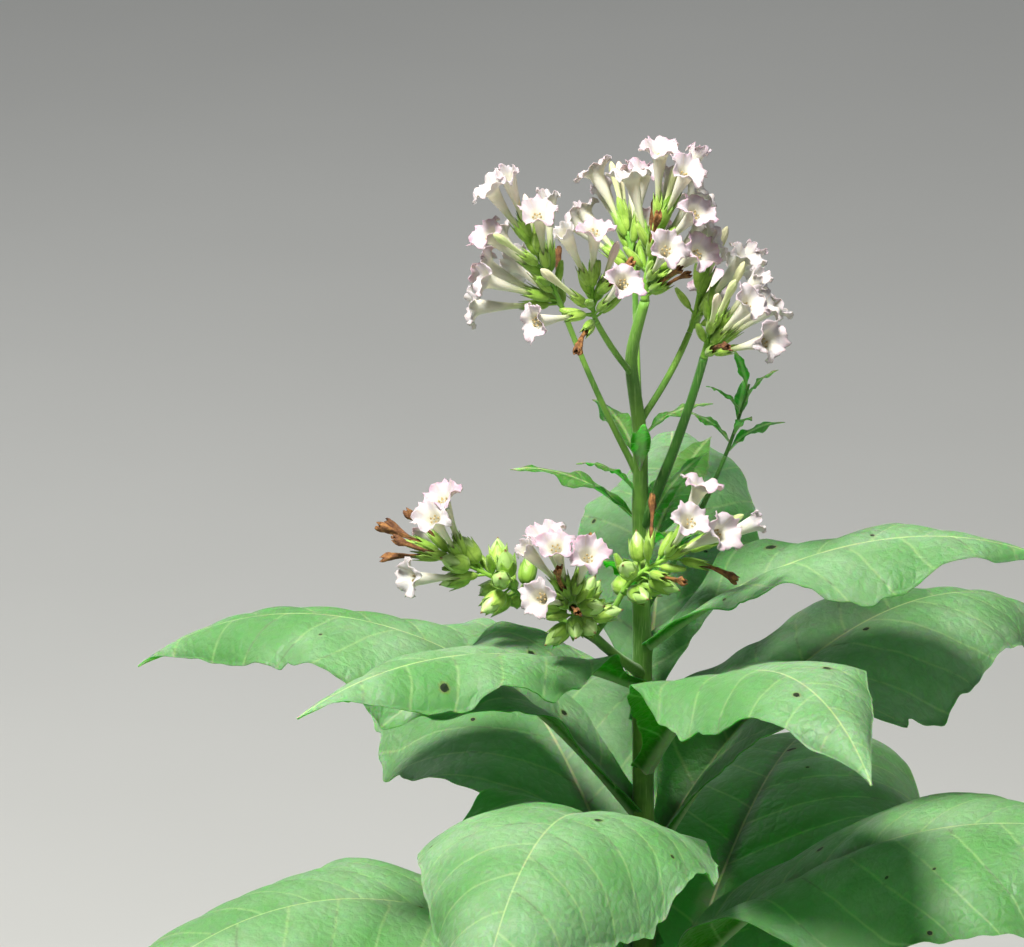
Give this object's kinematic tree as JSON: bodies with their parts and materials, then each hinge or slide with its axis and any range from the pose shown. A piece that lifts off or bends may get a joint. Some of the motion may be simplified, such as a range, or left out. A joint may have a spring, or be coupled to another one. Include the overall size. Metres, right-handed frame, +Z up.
{
  "type": "tobacco plant",
  "caption": "Tall flowering tobacco plant: green tapering stalk, large arching leaves in a spiral, a forked head of long-tubed pale flowers, and a low flowering shoot with seed pods.",
  "frame": {"origin": "centre of the flat cut under the stalk, at ground level", "axes": "+Z up the stalk; the picture was taken from the -Y side; +X is to its right"},
  "size_m": [0.9781, 0.9566, 1.4995],
  "materials": {
    "stalk": "green herbaceous stem, ridged, satin",
    "branch": "green stem, finely hairy, satin",
    "leaf": "quilted matt leaf with a pale midrib",
    "small_leaf": "matt leaf",
    "flower": "soft petals, green calyces and pods"
  },
  "bodies": {
    "root": {"stalk": "stalk", "branch_left": "branch", "branch_right": "branch", "branch_right_inner": "branch", "branch_front": "branch", "branch_back": "branch", "low_shoot": "branch", "low_fork_left": "branch", "low_fork_right": "branch", "leafy_twig": "branch", "leaf_01": "leaf", "leaf_02": "leaf", "leaf_03": "leaf", "leaf_04": "leaf", "leaf_05": "leaf", "leaf_06": "leaf", "leaf_07": "leaf", "leaf_08": "leaf", "leaf_09": "leaf", "leaf_10": "leaf", "leaf_11": "leaf", "leaf_12": "leaf", "leaf_13": "leaf", "leaf_14": "leaf", "leaf_15": "leaf", "leaf_16": "leaf", "leaf_17": "leaf", "leaf_18": "leaf", "leaf_19": "leaf", "leaf_20": "leaf", "leaf_21": "leaf", "leaf_22": "leaf", "small_leaf_1": "small_leaf", "small_leaf_2": "small_leaf", "small_leaf_3": "small_leaf", "small_leaf_4": "small_leaf", "small_leaf_5": "small_leaf", "small_leaf_6": "small_leaf", "small_leaf_7": "small_leaf", "small_leaf_8": "small_leaf", "small_leaf_9": "small_leaf", "small_leaf_10": "small_leaf", "leafy_twig_tuft": "small_leaf", "head_top": "flower", "head_left": "flower", "head_right": "flower", "head_right_inner": "flower", "head_front": "flower", "head_back": "flower", "low_middle": "flower", "low_left": "flower", "low_right": "flower"}
  },
  "joints": []
}
